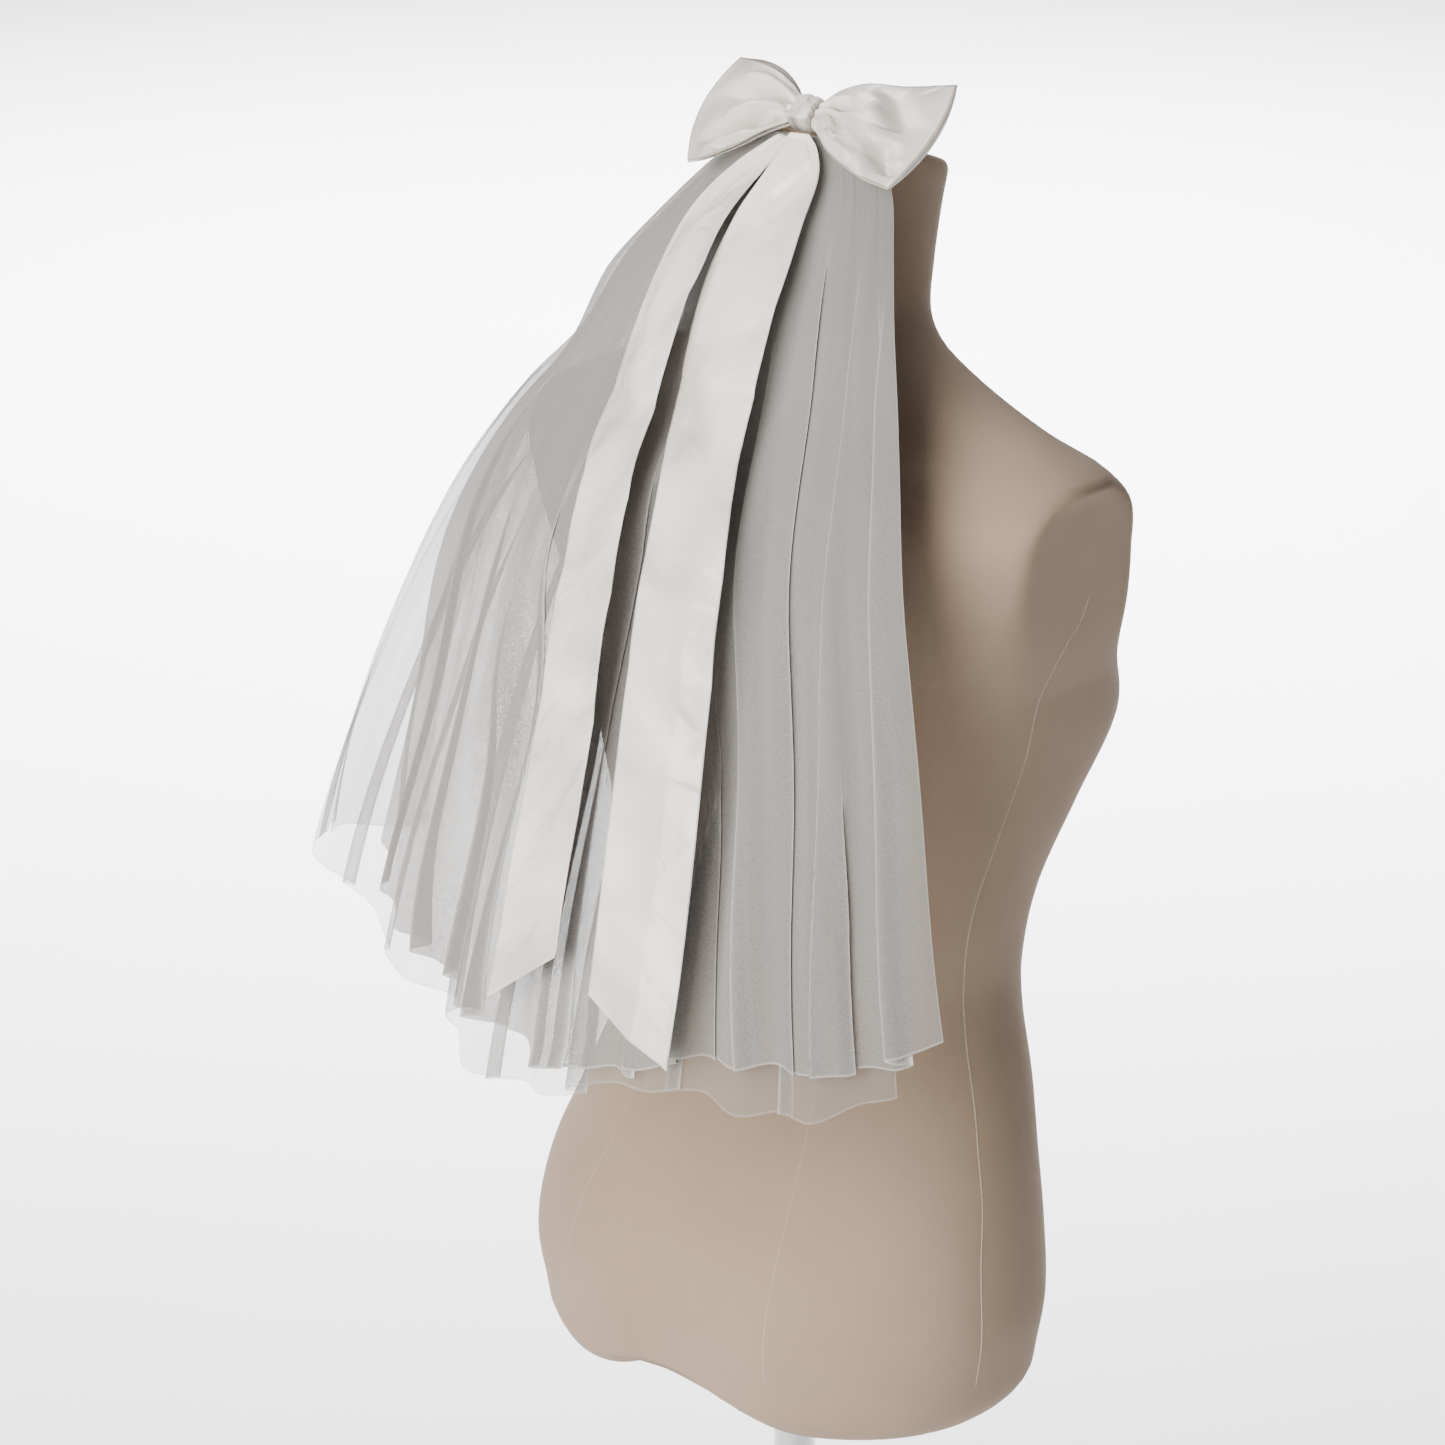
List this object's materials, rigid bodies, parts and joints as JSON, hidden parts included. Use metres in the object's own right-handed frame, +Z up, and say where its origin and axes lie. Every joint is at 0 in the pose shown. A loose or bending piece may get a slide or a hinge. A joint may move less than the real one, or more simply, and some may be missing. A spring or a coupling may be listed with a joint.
{
  "type": "bridal veil on dress form",
  "caption": "Two-tier bridal veil of gathered tulle with a satin bow and two ribbon tails, set on a limbless dress form.",
  "frame": {"origin": "centre of the stand base's underside, on the floor", "axes": "+Z up along the pole, +Y the way the dress form faces, +X the form's right side; the bow and veil are on the -Y side"},
  "size_m": [0.5431, 0.4349, 1.2985],
  "materials": {
    "tulle": "sheer white nylon tulle",
    "satin": "ivory satin ribbon",
    "form_cover": "smooth matte jersey cover in beige",
    "stand_steel": "plain bright steel"
  },
  "bodies": {
    "root": {"veil_under_tier": "tulle", "veil_top_tier": "tulle", "heading_band": "satin", "bow_knot": "satin", "bow_loop_left": "satin", "bow_loop_right": "satin", "tail_left": "satin", "tail_right": "satin", "dress_form": "form_cover", "stand_pole": "stand_steel", "stand_base": "stand_steel"}
  },
  "joints": []
}
